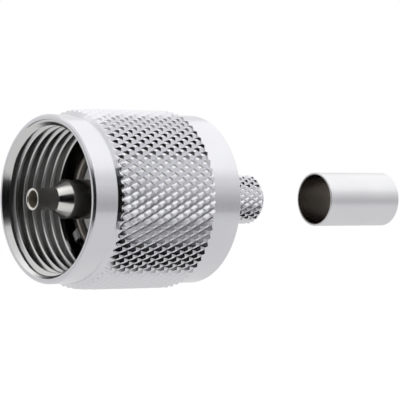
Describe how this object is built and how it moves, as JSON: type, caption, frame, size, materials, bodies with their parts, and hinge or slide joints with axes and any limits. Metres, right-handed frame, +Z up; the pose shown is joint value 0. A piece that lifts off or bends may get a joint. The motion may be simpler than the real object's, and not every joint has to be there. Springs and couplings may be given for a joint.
{
  "type": "uhf connector",
  "caption": "Crimp-type UHF cable plug: knurled coupling nut on a turned body with locating teeth, hollow centre pin, knurled crimp neck and loose crimp ferrule.",
  "frame": {"origin": "on the plug's axis, in the plane of the flange face that the jack seats on, where the centre pin leaves its insulator", "axes": "+X along the plug's axis towards the cable, so the centre pin and the mating jack are on the -X side; +Z up; +Y to the side"},
  "size_m": [0.0464, 0.0184, 0.0184],
  "materials": {
    "nickel_plating": "nickel plating over turned and knurled brass",
    "white_insulator": "white fluoropolymer, matt",
    "spring_ring": "phosphor bronze, plain"
  },
  "bodies": {
    "plug": {"plug_body": "nickel_plating", "crimp_neck": "nickel_plating", "insulator": "white_insulator", "centre_pin": "nickel_plating"},
    "ring": {"retaining_ring": "spring_ring"},
    "nut": {"coupling_nut": "nickel_plating"},
    "ferrule": {"crimp_ferrule": "nickel_plating"}
  },
  "joints": [
    {"name": "nut_slide", "type": "slide", "parent": "plug", "child": "ring", "axis": [1, 0, 0], "range_m": [0, 0.0005]},
    {"name": "nut_turn", "type": "hinge", "parent": "ring", "child": "nut", "pos_m": [0, 0, 0], "axis": [1, 0, 0], "continuous": true},
    {"name": "ferrule_slide", "type": "slide", "parent": "plug", "child": "ferrule", "axis": [1, 0, 0], "range_m": [-0.018, 0]}
  ]
}
